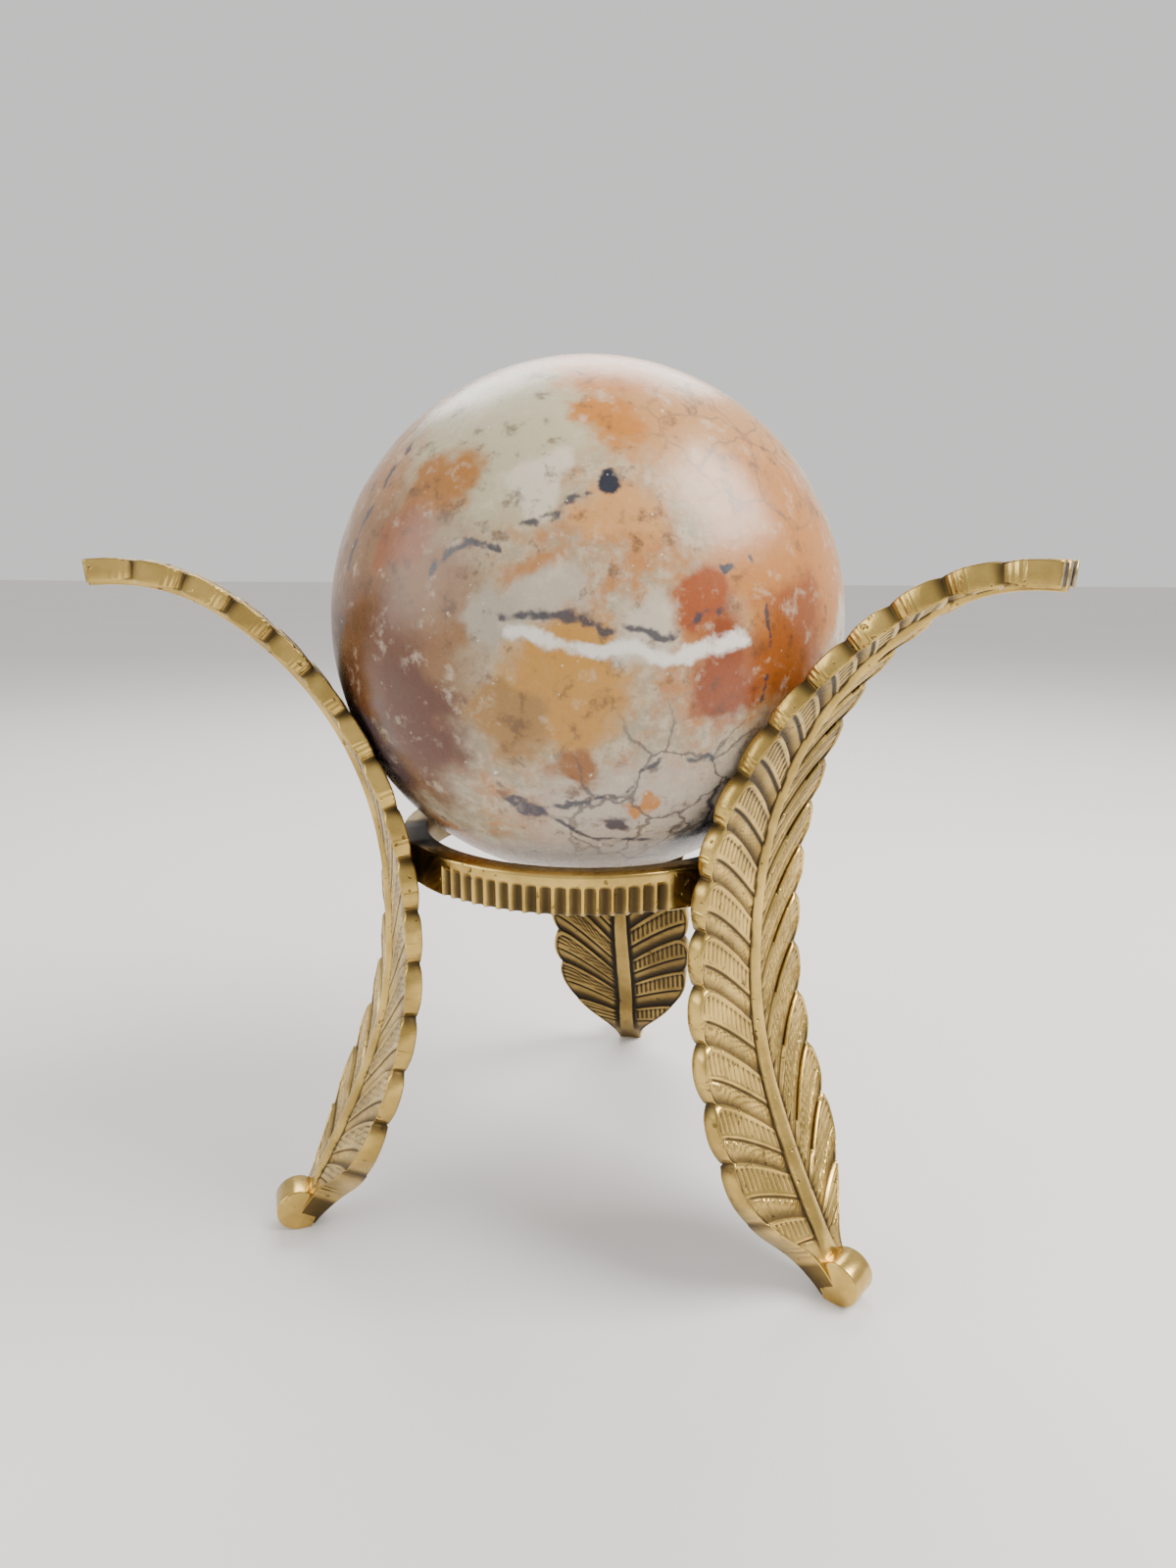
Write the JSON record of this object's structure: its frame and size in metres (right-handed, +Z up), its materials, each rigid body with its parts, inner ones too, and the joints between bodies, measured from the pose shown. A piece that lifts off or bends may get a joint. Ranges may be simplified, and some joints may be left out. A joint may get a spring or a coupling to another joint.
{
  "type": "stone ball on a leaf-legged brass tripod stand",
  "caption": "Polished stone ball held by cast brass leaf legs that curl outwards at the tip and are joined below it by a fluted ring.",
  "frame": {"origin": "on the floor under the middle of the bounding box; the ball's and the ring's common axis is 28 mm in front of it, because only one leg points backwards", "axes": "+Z up, +Y the way the single back leg points, so -Y is the front between the other legs"},
  "size_m": [0.2234, 0.1966, 0.2408],
  "materials": {
    "stone": "polished, rust, cream and grey with dark veins",
    "brass": "aged cast brass, bright on the raised parts and brown in the hollows"
  },
  "bodies": {
    "root": {"stone_ball": "stone", "leaf_leg_back": "brass", "leaf_leg_left": "brass", "leaf_leg_right": "brass", "fluted_ring": "brass"}
  },
  "joints": []
}
